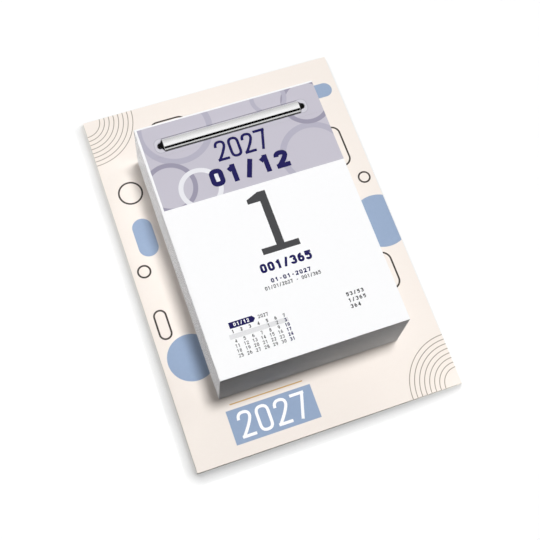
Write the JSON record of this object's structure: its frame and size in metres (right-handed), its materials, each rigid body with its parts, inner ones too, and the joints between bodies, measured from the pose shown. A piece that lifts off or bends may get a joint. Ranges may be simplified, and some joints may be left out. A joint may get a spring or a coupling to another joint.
{
  "type": "tear off day calendar",
  "caption": "Thick pad of day leaves on a printed backing board, held at its head by a half-round metal bar with clinched legs; leaves fan, lift and tear off.",
  "frame": {"origin": "middle of the board's underside", "axes": "+X across the board to the reader's right, +Y to the head of the pad, +Z out of the page"},
  "size_m": [0.148, 0.21, 0.0421],
  "materials": {
    "chipboard": "grey chipboard",
    "face_print": "cream printed paper",
    "back_liner": "plain liner paper",
    "leaf_paper": "white bond paper",
    "bar_steel": "bright nickel-plated sheet steel"
  },
  "bodies": {
    "board_and_stubs": {"back_sheet": "back_liner", "backing_board": "chipboard", "face_sheet": "face_print", "binding_bar": "bar_steel", "january_stubs": "leaf_paper", "february_stubs": "leaf_paper", "march_stubs": "leaf_paper", "april_stubs": "leaf_paper", "may_stubs": "leaf_paper", "june_stubs": "leaf_paper", "july_stubs": "leaf_paper", "august_stubs": "leaf_paper", "september_stubs": "leaf_paper", "october_stubs": "leaf_paper", "november_stubs": "leaf_paper", "december_stubs": "leaf_paper", "top_leaf_stub": "leaf_paper"},
    "january_leaves": {"january_leaves": "leaf_paper"},
    "february_leaves": {"february_leaves": "leaf_paper"},
    "march_leaves": {"march_leaves": "leaf_paper"},
    "april_leaves": {"april_leaves": "leaf_paper"},
    "may_leaves": {"may_leaves": "leaf_paper"},
    "june_leaves": {"june_leaves": "leaf_paper"},
    "july_leaves": {"july_leaves": "leaf_paper"},
    "august_leaves": {"august_leaves": "leaf_paper"},
    "september_leaves": {"september_leaves": "leaf_paper"},
    "october_leaves": {"october_leaves": "leaf_paper"},
    "november_leaves": {"november_leaves": "leaf_paper"},
    "december_leaves": {"december_leaves": "leaf_paper"},
    "top_leaf_strip": {"top_leaf_strip": "leaf_paper"},
    "top_leaf": {"top_leaf": "leaf_paper"}
  },
  "joints": [
    {"name": "pad_riffle", "type": "hinge", "parent": "board_and_stubs", "child": "january_leaves", "pos_m": [-0.001, 0.0538, 0.03992], "axis": [-1, 0, 0], "range_deg": [0, 30]},
    {"name": "february_riffle", "type": "hinge", "parent": "board_and_stubs", "child": "february_leaves", "pos_m": [-0.001, 0.0538, 0.03992], "axis": [-1, 0, 0], "range_deg": [0, 27.5]},
    {"name": "march_riffle", "type": "hinge", "parent": "board_and_stubs", "child": "march_leaves", "pos_m": [-0.001, 0.0538, 0.03992], "axis": [-1, 0, 0], "range_deg": [0, 25]},
    {"name": "april_riffle", "type": "hinge", "parent": "board_and_stubs", "child": "april_leaves", "pos_m": [-0.001, 0.0538, 0.03992], "axis": [-1, 0, 0], "range_deg": [0, 22.5]},
    {"name": "may_riffle", "type": "hinge", "parent": "board_and_stubs", "child": "may_leaves", "pos_m": [-0.001, 0.0538, 0.03992], "axis": [-1, 0, 0], "range_deg": [0, 20]},
    {"name": "june_riffle", "type": "hinge", "parent": "board_and_stubs", "child": "june_leaves", "pos_m": [-0.001, 0.0538, 0.03992], "axis": [-1, 0, 0], "range_deg": [0, 17.5]},
    {"name": "july_riffle", "type": "hinge", "parent": "board_and_stubs", "child": "july_leaves", "pos_m": [-0.001, 0.0538, 0.03992], "axis": [-1, 0, 0], "range_deg": [0, 15]},
    {"name": "august_riffle", "type": "hinge", "parent": "board_and_stubs", "child": "august_leaves", "pos_m": [-0.001, 0.0538, 0.03992], "axis": [-1, 0, 0], "range_deg": [0, 12.5]},
    {"name": "september_riffle", "type": "hinge", "parent": "board_and_stubs", "child": "september_leaves", "pos_m": [-0.001, 0.0538, 0.03992], "axis": [-1, 0, 0], "range_deg": [0, 10]},
    {"name": "october_riffle", "type": "hinge", "parent": "board_and_stubs", "child": "october_leaves", "pos_m": [-0.001, 0.0538, 0.03992], "axis": [-1, 0, 0], "range_deg": [0, 7.5]},
    {"name": "november_riffle", "type": "hinge", "parent": "board_and_stubs", "child": "november_leaves", "pos_m": [-0.001, 0.0538, 0.03992], "axis": [-1, 0, 0], "range_deg": [0, 5]},
    {"name": "december_riffle", "type": "hinge", "parent": "board_and_stubs", "child": "december_leaves", "pos_m": [-0.001, 0.0538, 0.03992], "axis": [-1, 0, 0], "range_deg": [0, 2.5]},
    {"name": "leaf_lift", "type": "hinge", "parent": "january_leaves", "child": "top_leaf_strip", "pos_m": [-0.001, 0.0538, 0.03992], "axis": [-1, 0, 0], "range_deg": [0, 100]},
    {"name": "leaf_tear", "type": "slide", "parent": "top_leaf_strip", "child": "top_leaf", "axis": [0, -1, 0], "range_m": [0, 0.16]}
  ],
  "couplings": [
    {"joint": "february_riffle", "follows": "pad_riffle", "ratio": 0.91667},
    {"joint": "march_riffle", "follows": "pad_riffle", "ratio": 0.83333},
    {"joint": "april_riffle", "follows": "pad_riffle", "ratio": 0.75},
    {"joint": "may_riffle", "follows": "pad_riffle", "ratio": 0.66667},
    {"joint": "june_riffle", "follows": "pad_riffle", "ratio": 0.58333},
    {"joint": "july_riffle", "follows": "pad_riffle", "ratio": 0.5},
    {"joint": "august_riffle", "follows": "pad_riffle", "ratio": 0.41667},
    {"joint": "september_riffle", "follows": "pad_riffle", "ratio": 0.33333},
    {"joint": "october_riffle", "follows": "pad_riffle", "ratio": 0.25},
    {"joint": "november_riffle", "follows": "pad_riffle", "ratio": 0.16667},
    {"joint": "december_riffle", "follows": "pad_riffle", "ratio": 0.083333}
  ]
}
